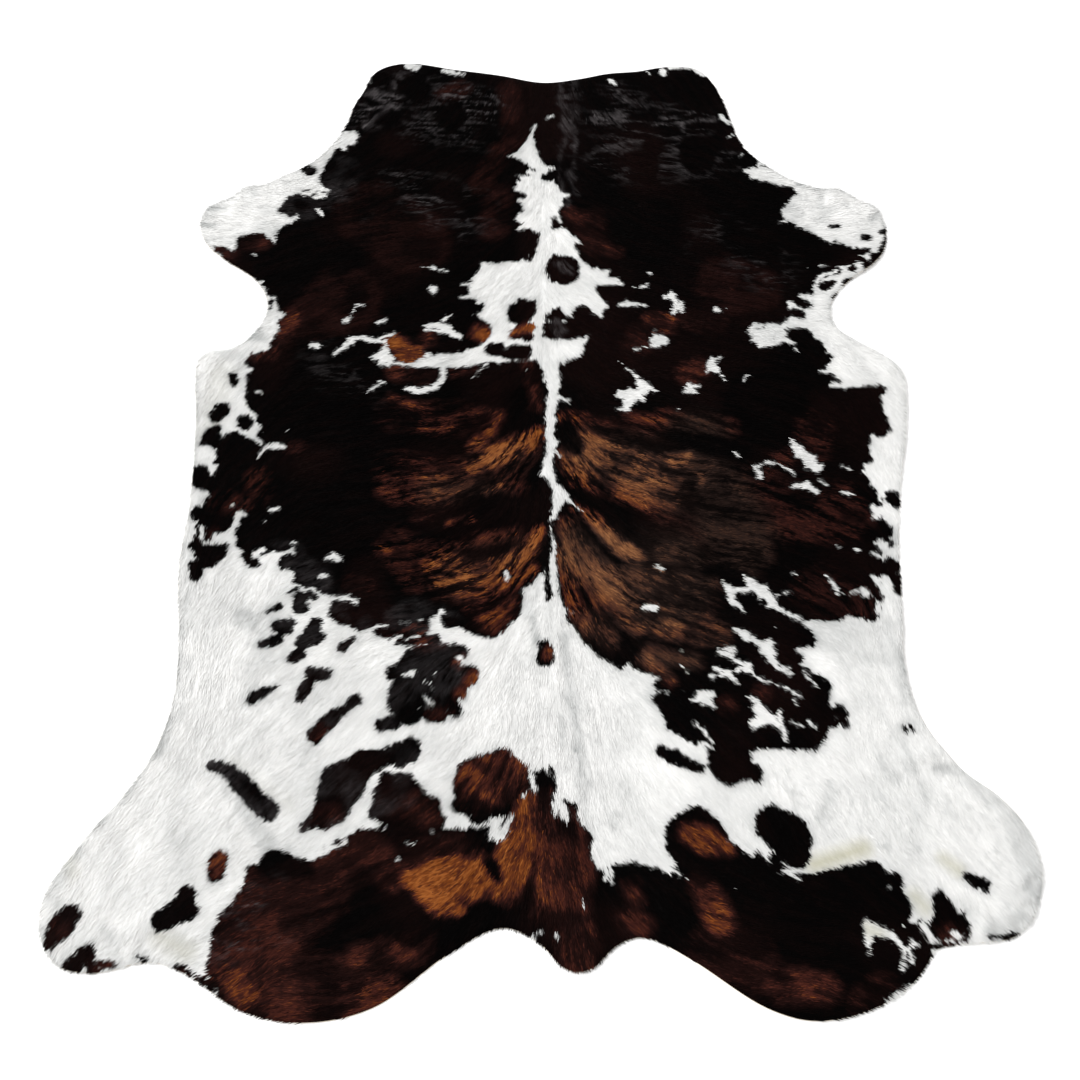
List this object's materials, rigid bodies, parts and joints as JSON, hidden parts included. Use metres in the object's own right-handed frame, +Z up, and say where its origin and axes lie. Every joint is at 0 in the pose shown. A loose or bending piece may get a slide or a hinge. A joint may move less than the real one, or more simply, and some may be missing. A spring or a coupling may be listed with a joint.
{
  "type": "cowhide rug",
  "caption": "Whole tanned cowhide with its hair on, laid flat as a rug, with neck, four short legs and a tail stub in its outline.",
  "frame": {"origin": "middle of the bounding box at floor level", "axes": "+Z up, +Y towards the neck along the backbone, +X across the hide to its right side as seen from the tail"},
  "size_m": [1.831, 2.1888, 0.0143],
  "materials": {
    "coat": "short hair lying flat, satin"
  },
  "bodies": {
    "root": {"hide": "coat"}
  },
  "joints": []
}
